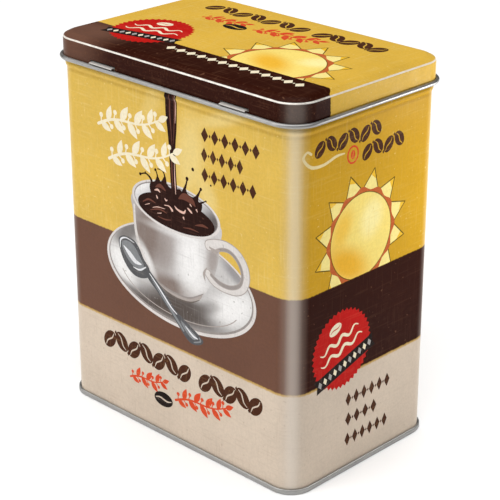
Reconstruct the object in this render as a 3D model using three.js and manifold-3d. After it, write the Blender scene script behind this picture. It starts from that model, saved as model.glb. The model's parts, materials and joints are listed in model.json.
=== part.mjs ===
// A hinged-lid coffee storage tin: a folded wall, a seamed-on bottom end and a drawn lid with a curled rim.
// Millimetres, +Z up. The origin is the centre of the tin's underside, and the hinge is on the -Y side.

import * as THREE from 'three';
import { mergeVertices } from 'three/addons/utils/BufferGeometryUtils.js';
import Module from 'manifold-3d';

const wasm = await Module();
wasm.setup();

// Driving dimensions. Every offset below is measured outwards from the outer face of the wall.
const WALL_WIDTH = 154; // X
const WALL_DEPTH = 97; // Y
const HEIGHT = 190; // to the top of the lid panel
const CORNER_RADIUS = 11;
const CORNER_STEPS = 8;
const SHEET = 0.3; // tinplate thickness, drawn a little heavy
const GAP = 0.3; // between one piece and the next

// Lid
const SKIRT_OFFSET = 1.4; // outer face of the skirt
const SKIRT_HEIGHT = 9.7; // from the centre of the curl to the top edge
const EDGE_RADIUS = 0.9; // where the skirt turns into the shoulder
const SHOULDER_RISE = 2;
const SHOULDER_WIDTH = 3.9;
const PANEL_BLEND = 1.2; // half the length of the round between shoulder and panel
const CURL_RADIUS = 1.05; // outer radius of the rolled rim
const CURL_END = 475; // degrees; the roll's free end lies just off the skirt

// Hinge: the curl turns under two tongues that are bent out of the wall
const SLOT_PLACES = [-42.5, 42.5]; // X
const SLOT_WIDTH = 17;
const SLOT_FOOT = 1.4; // above the curl's centre
const SLOT_HEAD = 2.9;
const TONGUE_WIDTH = 15.4;
const TONGUE_INNER_RADIUS = 1.85;
const TONGUE_WRAP = 30; // degrees past the top of the curl
const WINDOW_HEIGHT = 3.6; // left in the neck where the tongue was bent out

// Wall
const BEAD_RISE = 0.7;
const BEAD_HEIGHT = 4.2;
const ROLL_RADIUS = 0.75; // inward roll at the mouth
const ROLL_TURN = 270; // degrees
const FLANGE = 0.6; // hooked into the bottom seam

// Bottom end
const SEAM_HEIGHT = 2.6;
const SEAM_RADIUS = 0.45; // rounds of the seam, at the sheet's centre line
const PANEL_HEIGHT = 3; // underside of the sunk panel
const PANEL_STEP = 0.6; // stamped step in the sunk panel
const PANEL_BORDER = 3; // flat border outside the step

// Worked out from the above
const HALF_SHEET = SHEET / 2;
const SKIRT_LINE = SKIRT_OFFSET - HALF_SHEET;
const CURL_LINE_RADIUS = CURL_RADIUS - HALF_SHEET;
const CURL_OFFSET = SKIRT_LINE + CURL_LINE_RADIUS;
const EDGE_HEIGHT = HEIGHT - SHOULDER_RISE;
const CURL_HEIGHT = EDGE_HEIGHT - SKIRT_HEIGHT;
const BEAD_TOP = CURL_HEIGHT - CURL_RADIUS - GAP;
const TONGUE_LINE_RADIUS = TONGUE_INNER_RADIUS + HALF_SHEET;
const ON_AXIS = -WALL_DEPTH; // an offset that stands for the tin's vertical axis
const ROLL_DIVISIONS = 4; // a roll or curl gets twice this many steps, and a small round this many
const SEAM_DIVISIONS = 2;

const PRINTED = new THREE.MeshStandardMaterial({ color: 0xe0b84c, roughness: 0.4, metalness: 0.1 });
const PRINTED_LID = new THREE.MeshStandardMaterial({ color: 0x46231a, roughness: 0.4, metalness: 0.1 });
const BARE = new THREE.MeshStandardMaterial({ color: 0xb4b4b2, roughness: 0.35, metalness: 0.9 });

// The unit vector to the right of the way a path runs through point i.
function rightOf(points, i) {
  const before = points[Math.max(i - 1, 0)];
  const here = points[i];
  const after = points[Math.min(i + 1, points.length - 1)];
  const arriving = here.clone().sub(before).normalize();
  const leaving = after.clone().sub(here).normalize();
  const along = arriving.clone().add(leaving).normalize();
  const turn = arriving.lengthSq() > 0 && leaving.lengthSq() > 0 ? along.dot(leaving) : 1;
  return new THREE.Vector2(along.y, -along.x).divideScalar(turn);
}

// The closed, anticlockwise section of a sheet whose centre line is the path. With a panel, the sheet runs on level
// from the end of the path to the tin's axis.
function sheetSection(path, divisions, panel = false) {
  const points = path.getPoints(divisions);
  if (panel) {
    points.push(new THREE.Vector2(ON_AXIS, points.at(-1).y));
  }
  const right = points.map((p, i) => p.clone().addScaledVector(rightOf(points, i), HALF_SHEET));
  const left = points.map((p, i) => p.clone().addScaledVector(rightOf(points, i), -HALF_SHEET));
  return [...right, ...left.reverse(), right[0]];
}

// A lathe of the section whose four quarter turns are moved apart into the corners of a rounded rectangle.
function aroundTin(section) {
  const columns = 4 * (CORNER_STEPS + 1);
  const geometry = new THREE.LatheGeometry(section, columns);
  const position = geometry.attributes.position;
  for (let i = 0; i < position.count; i += 1) {
    const point = section[i % section.length];
    const column = Math.floor(i / section.length) % columns;
    const quarter = Math.floor(column / (CORNER_STEPS + 1));
    const angle = (quarter + (column % (CORNER_STEPS + 1)) / CORNER_STEPS) * Math.PI / 2;
    const sideX = quarter === 0 || quarter === 3 ? 1 : -1;
    const sideY = quarter < 2 ? 1 : -1;
    const radius = CORNER_RADIUS + point.x;
    const x = sideX * (WALL_WIDTH / 2 - CORNER_RADIUS) + radius * Math.cos(angle);
    const y = sideY * (WALL_DEPTH / 2 - CORNER_RADIUS) + radius * Math.sin(angle);
    const onAxis = point.x <= ON_AXIS + SHEET;
    position.setXYZ(i, onAxis ? 0 : x, onAxis ? 0 : y, point.y);
  }
  return geometry;
}

// A closed geometry as a solid that can be joined and cut. Triangles that close up on the axis are dropped.
function toSolid(geometry) {
  geometry.deleteAttribute('normal');
  geometry.deleteAttribute('uv');
  const merged = mergeVertices(geometry, 1e-4);
  const kept = [];
  for (let i = 0; i < merged.index.count; i += 3) {
    const corners = [0, 1, 2].map((k) => merged.index.getX(i + k));
    if (new Set(corners).size === 3) {
      kept.push(...corners);
    }
  }
  const vertProperties = new Float32Array(merged.attributes.position.array);
  return new wasm.Manifold(new wasm.Mesh({ numProp: 3, vertProperties, triVerts: new Uint32Array(kept) }));
}

// A solid as a named mesh.
function toMesh(name, solid, material) {
  const { vertProperties, triVerts } = solid.getMesh();
  const geometry = new THREE.BufferGeometry();
  geometry.setAttribute('position', new THREE.BufferAttribute(vertProperties, 3));
  geometry.setIndex(new THREE.BufferAttribute(triVerts, 1));
  geometry.computeVertexNormals();
  const mesh = new THREE.Mesh(geometry, material);
  mesh.name = name;
  return mesh;
}

// A block on the hinge side, between two offsets and two heights above the curl's centre.
function hingeBlock(place, width, offsets, heights) {
  const geometry = new THREE.BoxGeometry(width, offsets[1] - offsets[0], heights[1] - heights[0]);
  const y = -WALL_DEPTH / 2 - (offsets[0] + offsets[1]) / 2;
  geometry.translate(place, y, CURL_HEIGHT + (heights[0] + heights[1]) / 2);
  return toSolid(geometry);
}

// A tongue: straight out of the neck, then over the top of the curl.
function hingeTongue(place) {
  const top = THREE.MathUtils.degToRad(90);
  const tip = THREE.MathUtils.degToRad(90 - TONGUE_WRAP);
  const path = new THREE.Path();
  path.moveTo(-HALF_SHEET, CURL_HEIGHT + TONGUE_LINE_RADIUS);
  path.lineTo(CURL_OFFSET, CURL_HEIGHT + TONGUE_LINE_RADIUS);
  path.absarc(CURL_OFFSET, CURL_HEIGHT, TONGUE_LINE_RADIUS, top, tip, true);
  const section = sheetSection(path, ROLL_DIVISIONS).slice(0, -1);
  const outline = new THREE.Shape(section);
  const geometry = new THREE.ExtrudeGeometry(outline, { depth: TONGUE_WIDTH, bevelEnabled: false });
  geometry.translate(0, 0, -TONGUE_WIDTH / 2);
  // The section's offset axis turns to -Y, its height to Z and the extrusion to -X.
  const turn = new THREE.Matrix4();
  turn.set(0, 0, -1, place, -1, 0, 0, -WALL_DEPTH / 2, 0, 1, 0, 0, 0, 0, 0, 1);
  return toSolid(geometry.applyMatrix4(turn));
}

// The folded wall: seam flange, straight side, stop bead, neck and rolled mouth, with its two hinge tongues.
function bodyWall() {
  const flangeHeight = 2 * GAP + HALF_SHEET;
  const beadMiddle = BEAD_TOP - BEAD_HEIGHT / 2;
  const beadFoot = BEAD_TOP - BEAD_HEIGHT;
  const line = -HALF_SHEET;
  const crest = BEAD_RISE - HALF_SHEET;
  const ease = BEAD_HEIGHT / 4;
  const path = new THREE.Path();
  path.moveTo(FLANGE, flangeHeight);
  path.lineTo(line, flangeHeight);
  path.lineTo(line, beadFoot);
  path.bezierCurveTo(line, beadFoot + ease, crest, beadMiddle - ease, crest, beadMiddle);
  path.bezierCurveTo(crest, beadMiddle + ease, line, BEAD_TOP - ease, line, BEAD_TOP);
  path.lineTo(line, mouthHeight());
  const turn = THREE.MathUtils.degToRad(ROLL_TURN);
  path.absarc(-ROLL_RADIUS, mouthHeight(), ROLL_RADIUS - HALF_SHEET, 0, turn, false);
  let wall = toSolid(aroundTin(sheetSection(path, ROLL_DIVISIONS)));
  const windowFoot = TONGUE_LINE_RADIUS + HALF_SHEET;
  for (const place of SLOT_PLACES) {
    const heights = [windowFoot, windowFoot + WINDOW_HEIGHT];
    wall = wall.subtract(hingeBlock(place, TONGUE_WIDTH, [-2 * SHEET, SHEET], heights));
    wall = wall.add(hingeTongue(place));
  }
  return wall;
}

// The height of the mouth roll's centre that leaves the gap under the lid's sloping shoulder.
function mouthHeight() {
  const slope = Math.atan2(SHOULDER_RISE, SHOULDER_WIDTH);
  const shoulderLine = EDGE_HEIGHT - HALF_SHEET + (SKIRT_LINE + ROLL_RADIUS) * Math.tan(slope);
  return shoulderLine - (HALF_SHEET + GAP + ROLL_RADIUS) / Math.cos(slope);
}

// The stamped bottom end: a channel that holds the wall's flange, a chuck wall and a stepped, sunk panel.
function bottomEnd() {
  const outer = FLANGE + GAP + HALF_SHEET;
  const inner = -SHEET - GAP - HALF_SHEET;
  const top = SEAM_HEIGHT - HALF_SHEET;
  const foot = HALF_SHEET;
  const panel = PANEL_HEIGHT + HALF_SHEET;
  const r = SEAM_RADIUS;
  const path = new THREE.Path();
  path.moveTo(GAP, top);
  path.lineTo(outer - r, top);
  path.quadraticCurveTo(outer, top, outer, top - r);
  path.lineTo(outer, foot + r);
  path.quadraticCurveTo(outer, foot, outer - r, foot);
  path.lineTo(inner + r, foot);
  path.quadraticCurveTo(inner, foot, inner, foot + r);
  path.lineTo(inner, panel - r);
  path.quadraticCurveTo(inner, panel, inner - r, panel);
  path.lineTo(inner - r - PANEL_BORDER, panel);
  path.lineTo(inner - r - PANEL_BORDER - PANEL_STEP, panel + PANEL_STEP);
  return toSolid(aroundTin(sheetSection(path, SEAM_DIVISIONS, true)));
}

// The drawn lid: curled rim, skirt, sloping shoulder and raised panel, with a slot over each hinge tongue.
function drawnLid() {
  const edge = EDGE_HEIGHT - HALF_SHEET;
  const panel = HEIGHT - HALF_SHEET;
  const panelOffset = SKIRT_LINE - SHOULDER_WIDTH;
  const rise = SHOULDER_RISE / SHOULDER_WIDTH;
  const curlEnd = THREE.MathUtils.degToRad(CURL_END);
  const path = new THREE.Path();
  path.absarc(CURL_OFFSET, CURL_HEIGHT, CURL_LINE_RADIUS, curlEnd, Math.PI, true);
  path.lineTo(SKIRT_LINE, edge - EDGE_RADIUS);
  path.quadraticCurveTo(SKIRT_LINE, edge, SKIRT_LINE - EDGE_RADIUS, edge + EDGE_RADIUS * rise);
  path.lineTo(panelOffset + PANEL_BLEND, panel - PANEL_BLEND * rise);
  path.quadraticCurveTo(panelOffset, panel, panelOffset - PANEL_BLEND, panel);
  let lid = toSolid(aroundTin(sheetSection(path, ROLL_DIVISIONS, true)));
  for (const place of SLOT_PLACES) {
    const offsets = [SKIRT_OFFSET - 2 * SHEET, SKIRT_OFFSET + SHEET];
    lid = lid.subtract(hingeBlock(place, SLOT_WIDTH, offsets, [SLOT_FOOT, SLOT_HEAD]));
  }
  return lid;
}

const tin = new THREE.Group();
tin.name = 'coffee_tin';
tin.add(toMesh('body_wall', bodyWall(), PRINTED));
tin.add(toMesh('bottom_end', bottomEnd(), BARE));

const lid = new THREE.Group();
lid.name = 'lid_group';
lid.add(toMesh('lid', drawnLid(), PRINTED_LID));
tin.add(lid);

export default tin;
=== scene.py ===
import json
import math

import bmesh
import bpy
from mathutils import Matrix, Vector
from mathutils.geometry import delaunay_2d_cdt


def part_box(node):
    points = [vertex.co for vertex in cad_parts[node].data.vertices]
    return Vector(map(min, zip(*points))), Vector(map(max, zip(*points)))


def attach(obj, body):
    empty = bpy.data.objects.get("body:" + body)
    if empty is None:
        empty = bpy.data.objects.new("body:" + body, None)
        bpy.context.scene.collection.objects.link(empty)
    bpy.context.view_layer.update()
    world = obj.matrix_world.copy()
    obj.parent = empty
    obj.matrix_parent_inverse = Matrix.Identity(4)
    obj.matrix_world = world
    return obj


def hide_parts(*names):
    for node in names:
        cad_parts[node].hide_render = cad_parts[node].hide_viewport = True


# A hinged-lid coffee tin in printed tinplate. Each sheet-metal piece is built again here with fine rounds,
# and the printed art is cut into its sheet as crisp regions. Lengths are millimetres unless a comment says
# otherwise. "Offset" is outwards from the wall's outer face. "Run" is the way round the tin along that face,
# from the middle of the front (-Y) towards +X.

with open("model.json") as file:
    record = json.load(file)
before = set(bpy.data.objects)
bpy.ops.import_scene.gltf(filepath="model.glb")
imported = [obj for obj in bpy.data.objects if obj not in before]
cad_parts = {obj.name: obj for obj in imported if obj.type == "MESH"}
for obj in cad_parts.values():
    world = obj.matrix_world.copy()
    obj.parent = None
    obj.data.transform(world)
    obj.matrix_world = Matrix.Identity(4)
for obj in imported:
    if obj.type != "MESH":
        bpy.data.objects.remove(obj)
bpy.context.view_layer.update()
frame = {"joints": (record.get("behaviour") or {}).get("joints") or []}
MM = 0.001


def corners_of(node):
    low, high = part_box(node)
    return low / MM, high / MM


WALL_LOW, WALL_HIGH = corners_of("body_wall")
LID_LOW, LID_HIGH = corners_of("lid")
END_LOW, END_HIGH = corners_of("bottom_end")
PIVOT = Vector(frame["joints"][0]["pos_m"]) / MM

# Sheet metal
SHEET = 0.3
HALF_SHEET = SHEET / 2
CORNER_RADIUS = 11
CORNER_STEPS = 14
ROUND_STEP = math.radians(15)
BEAD_RISE = 0.7
BEAD_HEIGHT = 4.2
BEAD_ROWS = 12
ROLL_RADIUS = 0.75
CURL_RADIUS = 1.05
CURL_START = 475  # degrees
CURL_STEPS = 22
GAP = 0.3
FLANGE = 0.6
FLANGE_HEIGHT = 0.6
SKIRT_LINE = 1.25
SHOULDER_WIDTH = 3.9
SHOULDER_RISE = 2
EDGE_ROUND = 1.4
PANEL_ROUND = 5
LID_RING = -5  # offset where the swept rim meets the flat panel
SEAM_LINE = 1.05
SEAM_TOP = 2.45
SEAM_ROUND = 0.42
CHUCK_LINE = -0.75
FLOOR_BORDER = 3.6
FLOOR_STEP = 0.6
FLOOR_RING = -8
SLOT_PLACES = (-42.5, 42.5)
SLOT_WIDTH = 17
SLOT_FOOT = 1.4
SLOT_HEAD = 2.9
TONGUE_WIDTH = 15.4
TONGUE_LINE = 2
TONGUE_FOLD = 0.5
WINDOW_HEAD = 5.75

HALF_WIDTH = WALL_HIGH.x - BEAD_RISE
HALF_DEPTH = WALL_HIGH.y - BEAD_RISE
FLAT_X = HALF_WIDTH - CORNER_RADIUS
FLAT_Y = HALF_DEPTH - CORNER_RADIUS
ARC = CORNER_RADIUS * math.pi / 2
AROUND = 4 * (FLAT_X + FLAT_Y + ARC)
RUN_START = -FLAT_X - ARC / 2
CURL_OFFSET = -PIVOT.y - HALF_DEPTH
CURL_HEIGHT = PIVOT.z
BEAD_TOP = CURL_HEIGHT - CURL_RADIUS - GAP
BEAD_FOOT = BEAD_TOP - BEAD_HEIGHT
MOUTH = WALL_HIGH.z - ROLL_RADIUS
WALL_FOOT = FLANGE_HEIGHT + SHEET
LID_TOP = LID_HIGH.z
FLOOR_LINE = END_HIGH.z - HALF_SHEET - FLOOR_STEP

# Printed bands
YELLOW_FOOT = 98
BROWN_FOOT = 50.8
LID_BAND = -25.2  # Y of the brown band's edge on the lid's panel
SKIRT_BAND = -28.8  # and on its skirt
# The pale line round the lid's top edge is rubbed metal with a painted highlight in its pale colour.
EDGE_LINE = LID_TOP - SHOULDER_RISE - 0.15  # middle of the rubbed line round the lid's top edge


# ---- ways round the tin
def on_wall(run):
    """The point of the wall's outer face at this run, and the outward direction there."""
    run = (run + AROUND / 2) % AROUND - AROUND / 2
    side = 1 if run >= 0 else -1
    rest = abs(run)
    if rest <= FLAT_X:
        x, y, angle = rest, -HALF_DEPTH, -math.pi / 2
    elif rest <= FLAT_X + ARC:
        angle = (rest - FLAT_X) / CORNER_RADIUS - math.pi / 2
        x, y = FLAT_X + CORNER_RADIUS * math.cos(angle), -FLAT_Y + CORNER_RADIUS * math.sin(angle)
    elif rest <= FLAT_X + ARC + 2 * FLAT_Y:
        x, y, angle = HALF_WIDTH, rest - FLAT_X - ARC - FLAT_Y, 0
    elif rest <= FLAT_X + 2 * ARC + 2 * FLAT_Y:
        angle = (rest - FLAT_X - ARC - 2 * FLAT_Y) / CORNER_RADIUS
        x, y = FLAT_X + CORNER_RADIUS * math.cos(angle), FLAT_Y + CORNER_RADIUS * math.sin(angle)
    else:
        x, y, angle = AROUND / 2 - rest, HALF_DEPTH, math.pi / 2
    outward = Vector((side * math.cos(angle), math.sin(angle), 0))
    return Vector((side * x, y, 0)), outward


def around(run, point):
    """The place in space of a section's point (offset, height) at this run."""
    foot, outward = on_wall(run)
    return foot + outward * point[0] + Vector((0, 0, point[1]))


def around_normal(run, normal):
    return on_wall(run)[1] * normal[0] + Vector((0, 0, normal[1]))


def columns(extra=()):
    """The runs at which the sweeps have an edge: close together in the corners."""
    places = set(extra)
    start = FLAT_X
    for straight in (2 * FLAT_Y, 2 * FLAT_X, 2 * FLAT_Y, 2 * FLAT_X):
        for i in range(CORNER_STEPS + 1):
            run = start + ARC * i / CORNER_STEPS
            places.add(run if run < RUN_START + AROUND - GAP else run - AROUND)
        start += ARC + straight
    return sorted(places)


WALL_COLUMNS = columns()
SLOT_EDGES = [place + side * SLOT_WIDTH / 2 for place in SLOT_PLACES for side in (-1, 1)]
LID_COLUMNS = columns(SLOT_EDGES)


# ---- sheet sections
def turned(vector, angle):
    c, s = math.cos(angle), math.sin(angle)
    return Vector((vector.x * c - vector.y * s, vector.x * s + vector.y * c))


def rounded_path(corners, radii):
    """A centre line through the corners, the inner ones rounded, as (point, direction) pairs."""
    corners = [Vector(c) for c in corners]
    path = [(corners[0], (corners[1] - corners[0]).normalized())]
    for before, here, after, radius in zip(corners, corners[1:], corners[2:], radii):
        arriving, leaving = (here - before).normalized(), (after - here).normalized()
        angle = math.atan2(arriving.x * leaving.y - arriving.y * leaving.x, arriving.dot(leaving))
        side = math.copysign(1, angle)
        start = here - arriving * radius * math.tan(abs(angle) / 2)
        to_centre = Vector((-arriving.y, arriving.x)) * side * radius
        steps = max(1, math.ceil(abs(angle) / ROUND_STEP))
        for i in range(steps + 1 if radius else 1):
            part = angle * i / steps
            path.append((start + to_centre - turned(to_centre, part), turned(arriving, part)))
    path.append((corners[-1], (corners[-1] - corners[-2]).normalized()))
    return path


def arc_path(centre, radius, start, end, steps):
    """A centre line round an arc, in degrees, as (point, direction) pairs."""
    path = []
    for i in range(steps + 1):
        angle = math.radians(start + (end - start) * i / steps)
        spoke = Vector((math.cos(angle), math.sin(angle)))
        along = Vector((-spoke.y, spoke.x)) * math.copysign(1, end - start)
        path.append((Vector(centre) + spoke * radius, along))
    return path


def skins(path):
    """The sheet's two faces on the right and on the left of its centre line, as (point, normal) pairs."""
    right = [(p + Vector((d.y, -d.x)) * HALF_SHEET, Vector((d.y, -d.x))) for p, d in path]
    left = [(p - Vector((d.y, -d.x)) * HALF_SHEET, Vector((-d.y, d.x))) for p, d in path]
    return right, left


# ---- building a piece
class Piece:
    """Collects one piece's faces, each with the exact normals of its corners and a finish."""

    def __init__(self):
        self.mesh = bmesh.new()
        self.exact = self.mesh.loops.layers.float_vector.new("exact_normal")
        self.finishes = []

    def face(self, points, normals, finish):
        """Normals is one for each point, or one direction that a flat face looks towards."""
        flat = (points[1] - points[0]).cross(points[2] - points[0])
        if len(points) == 4:
            flat += (points[2] - points[0]).cross(points[3] - points[0])
        if flat.length < 1e-9:
            return
        flat.normalize()
        if isinstance(normals, Vector):
            normals = [flat if flat.dot(normals) >= 0 else -flat] * len(points)
        if flat.dot(sum(normals, Vector())) < 0:
            points, normals = points[::-1], normals[::-1]
        if finish not in self.finishes:
            self.finishes.append(finish)
        made = self.mesh.faces.new([self.mesh.verts.new(p * MM) for p in points])
        made.smooth = True
        made.material_index = self.finishes.index(finish)
        for corner, normal in zip(made.loops, normals):
            corner[self.exact] = normal.normalized()

    def sweep(self, strip, runs, finish, skip=None):
        """Carries a strip of (point, normal) pairs round the tin."""
        for (low, low_normal), (high, high_normal) in zip(strip, strip[1:]):
            for start, end in zip(runs, runs[1:] + [runs[0] + AROUND]):
                if skip and skip((start + end) / 2, (low.y + high.y) / 2):
                    continue
                points = [around(start, low), around(end, low), around(end, high), around(start, high)]
                normals = [around_normal(run, n) for run, n in
                           ((start, low_normal), (end, low_normal), (end, high_normal), (start, high_normal))]
                self.face(points, normals, finish)

    def end_cap(self, path_end, runs, finish, towards):
        """Closes the sheet's edge at one end of its centre line."""
        point, direction = path_end
        across = Vector((direction.y, -direction.x)) * HALF_SHEET
        out = direction * towards
        self.sweep([(point + across, out), (point - across, out)], runs, finish)

    def flat_art(self, layers, place, lines=()):
        """Fills the first layer's outline, with every later layer laid over it."""
        for corners, finish in triangles(layers, lines):
            if finish:
                placed = [place(*corner) for corner in corners]
                self.face([p for p, _ in placed], [n for _, n in placed], finish)

    def hole_rim(self, outline, outside, inside, finish):
        """Joins a hole's outline in one face of the sheet to the same outline in the other face."""
        middle = sum((outside(*p)[0] for p in outline), Vector()) / len(outline)
        for a, b in zip(outline, outline[1:] + outline[:1]):
            points = [outside(*a)[0], outside(*b)[0], inside(*b)[0], inside(*a)[0]]
            self.face(points, middle - points[0], finish)

    def build(self, name, body, slot, *nodes):
        bmesh.ops.remove_doubles(self.mesh, verts=self.mesh.verts, dist=WELD)
        data = bpy.data.meshes.new(name)
        self.mesh.to_mesh(data)
        self.mesh.free()
        exact = [Vector(corner.vector) for corner in data.attributes["exact_normal"].data]
        data.normals_split_custom_set(exact)
        data.attributes.remove(data.attributes["exact_normal"])
        for finish in self.finishes:
            data.materials.append(MATERIALS[finish])
        made = bpy.data.objects.new(name, data)
        bpy.context.scene.collection.objects.link(made)
        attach(made, body)
        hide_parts(*nodes)
        return made


WELD = 0.000004  # metres
MERGE = 0.0001


def anticlockwise(outline):
    area = sum(a[0] * b[1] - b[0] * a[1] for a, b in zip(outline, outline[1:] + outline[:1]))
    return outline if area > 0 else outline[::-1]


def triangles(layers, lines):
    """Cuts the outlines and the lines into triangles, each with the finish of the last layer over it."""
    points, edges, faces = [], [], []
    for outline, _ in layers:
        faces.append(list(range(len(points), len(points) + len(outline))))
        points += anticlockwise(list(outline))
    for line in lines:
        edges.append((len(points), len(points) + 1))
        points += line
    found = delaunay_2d_cdt([Vector(p) for p in points], edges, faces, 1, MERGE)
    vertices, made, sources = found[0], found[2], found[5]
    for corners, over in zip(made, sources):
        if 0 in over:
            yield [vertices[i] for i in corners], layers[max(over)][1]


# ---- brush strokes
def spline(points, steps=5, closed=False):
    """A smooth line through points of two or more numbers each."""
    count = len(points)
    line = []
    for i in range(count if closed else count - 1):
        if closed:
            a, b, c, d = (points[(i + k) % count] for k in (-1, 0, 1, 2))
        else:
            a, b, c, d = (points[min(max(i + k, 0), count - 1)] for k in (-1, 0, 1, 2))
        for j in range(steps):
            t = j / steps
            line.append(tuple(
                0.5 * (2 * q + (r - p) * t + (2 * p - 5 * q + 4 * r - s) * t * t
                       + (3 * q - p - 3 * r + s) * t ** 3)
                for p, q, r, s in zip(a, b, c, d)))
    return line if closed else line + [tuple(points[-1])]


def ellipse(u, v, wide, high, turn=0, start=0, end=360, steps=48):
    """An outline or an arc with these half-sizes, in degrees."""
    lean = math.radians(turn)
    count = steps if end - start == 360 else steps + 1
    outline = []
    for i in range(count):
        angle = math.radians(start + (end - start) * i / steps)
        along, across = wide * math.cos(angle), high * math.sin(angle)
        outline.append((u + along * math.cos(lean) - across * math.sin(lean),
                        v + along * math.sin(lean) + across * math.cos(lean)))
    return outline


def ribbon(line, finish, closed=False, caps=True):
    """A band along a line of (u, v, width), in short pieces."""
    count = len(line)
    sides = []
    for i, (u, v, width) in enumerate(line):
        before = line[(i - 1) % count] if closed or i else line[0]
        after = line[(i + 1) % count] if closed or i < count - 1 else line[-1]
        along = Vector((after[0] - before[0], after[1] - before[1])).normalized()
        half = max(width, 0.05) / 2
        sides.append(((u - along.y * half, v + along.x * half), (u + along.y * half, v - along.x * half)))
    pairs = list(zip(sides, sides[1:] + sides[:1])) if closed else list(zip(sides, sides[1:]))
    layers = [([a[0], a[1], b[1], b[0]], finish) for a, b in pairs]
    if caps and not closed:
        for u, v, width in (line[0], line[-1]):
            if width > 0.3:
                layers.append((ellipse(u, v, width / 2, width / 2, steps=12), finish))
    return layers


def brush(points, finish, steps=5, closed=False, caps=True):
    """A brush stroke through points of (u, v, width)."""
    return ribbon(spline(points, steps, closed), finish, closed, caps)


def ring(u, v, wide, high, width, finish, start=0, end=360, steps=56):
    """A line of even width along an ellipse, or part of one."""
    line = [(x, y, width) for x, y in ellipse(u, v, wide, high, 0, start, end, steps)]
    return ribbon(line, finish, closed=end - start == 360)


def blob(points, finish, steps=5):
    return [(spline(points, steps, closed=True), finish)]


def moved(layers, u=0.0, v=0.0, size=1.0, turn=0.0):
    c, s = size * math.cos(math.radians(turn)), size * math.sin(math.radians(turn))
    return [([(u + x * c - y * s, v + x * s + y * c) for x, y in outline], finish) for outline,
            finish in layers]


# ---- ornaments
def bean(u, v, length, finish, furrow, turn=90.0, plump=0.68):
    """A coffee bean: an oval, split by an S-shaped furrow."""
    half, wide = length / 2, length / 2 * plump
    split = [(-0.86 * half, 0, 0.03 * length), (-0.4 * half, 0.16 * wide, 0.06 * length),
             (0, 0, 0.07 * length),
             (0.4 * half, -0.16 * wide, 0.06 * length), (0.86 * half, 0, 0.03 * length)]
    layers = [(ellipse(0, 0, half, wide, steps=28), finish)] + brush(split, furrow, 4, caps=False)
    return moved(layers, u, v, 1, turn)


def diamond(u, v, wide, high, finish):
    return [([(u - wide / 2, v), (u, v - high / 2), (u + wide / 2, v), (u, v + high / 2)], finish)]


def diamond_row(left, right, v, high, count, finish):
    """Large diamonds with small ones between them."""
    pitch = (right - left) / count
    layers = []
    for i in range(count):
        u = left + pitch * (i + 0.5)
        layers += diamond(u, v, pitch * 0.72, high, finish)
        if i < count - 1:
            layers += diamond(u + pitch / 2, v, pitch * 0.2, high * 0.26, finish)
    return layers


def bean_row(left, right, v, high, count, finish, ground):
    """Plump coffee beans that lean this way and that, with small diamonds between them."""
    pitch = (right - left) / count
    layers = []
    for i in range(count):
        u = left + pitch * (i + 0.5)
        side = 1 if i % 2 else -1
        layers += bean(u, v + side * 0.06 * high, high * 1.02, finish, ground, 90 + side * 38, 0.72)
        if i < count - 1:
            layers += diamond(u + pitch / 2, v - side * 0.4 * high, high * 0.16, high * 0.24, finish)
    return layers


def leaf(u, v, length, turn, finish):
    """A pointed leaf that grows from this point."""
    side = []
    for i in range(9):
        t = i / 8
        side.append((length * t, length * 0.23 * math.sin(math.pi * t ** 0.8)))
    outline = side + [(x, -y) for x, y in side[-2:0:-1]]
    return moved([(outline, finish)], u, v, 1, turn)


def sprig(u, v, length, turn, leaves, size, finish):
    """A wavy stem with leaves and berries along both sides and a leaf at its tip, placed by its middle."""
    wave = 0.035 * length

    def stem(t):
        slope = math.degrees(math.atan(wave * 2 * math.pi / length * math.cos(2 * math.pi * t)))
        return length * (t - 0.5), wave * math.sin(2 * math.pi * t), slope

    line = []
    for i in range(25):
        x, y, _ = stem(i / 24)
        line.append((x, y, size * (0.17 - 0.08 * i / 24)))
    layers = ribbon(line, finish)
    for i in range(leaves):
        t = (i + 0.5) / leaves
        x, y, slope = stem(t)
        side = 1 if i % 2 else -1
        layers += leaf(x, y, size * (0.8 + 0.25 * math.sin(math.pi * t)), slope + side * 50, finish)
        berry = math.radians(slope - side * 62)
        reach = 0.42 * size
        layers += ribbon([(x, y, 0.08 * size), (x + reach * math.cos(berry), y + reach * math.sin(berry),
                                                0.08 * size)],
                         finish, caps=False)
        layers.append((ellipse(x + reach * math.cos(berry), y + reach * math.sin(berry), 0.14 * size,
                               0.14 * size,
                               steps=16), finish))
    x, y, slope = stem(1)
    layers += leaf(x, y, size * 0.8, slope, finish)
    return moved(layers, u, v, 1, turn)


def sun(u, v, radius, rays, phase, disc):
    """A plain sun: a ring round a shaded disc, with pointed rays."""
    layers = []
    spacing = 2 * math.pi / rays
    foot = 0.7 * radius

    def at(reach, angle):
        return u + reach * math.cos(angle), v + reach * math.sin(angle)

    for i in range(rays):
        angle = spacing * (i + phase)
        tip = at(radius, angle)
        feet = [at(foot, angle + k * spacing / 2) for k in (-1, 1)]
        shade = [(tip[0] + (f[0] - tip[0]) * part, tip[1] + (f[1] - tip[1]) * part) for f,
                 part in zip(feet, (0.5, 0.3))]
        layers.append(([tip, feet[1], (u, v), feet[0]], "sun_pale"))
        layers.append(([tip, shade[1], shade[0]], "sun_gold"))
        for end in feet:
            layers += ribbon([(*tip, 0.55), (*end, 0.55)], "ink_olive")
    scallops = []
    for i in range(rays * 6):
        reach = radius * (0.715 + 0.03 * math.cos(math.pi * (i % 6) / 3 + math.pi))
        scallops.append(at(reach, spacing * (i / 6 + phase)))
    layers.append((scallops, "ink_rust"))
    layers.append((ellipse(u, v, 0.655 * radius, 0.655 * radius, steps=64), disc))
    layers += ring(u, v, 0.655 * radius, 0.655 * radius, 0.4, "ink_olive")
    return layers


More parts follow.
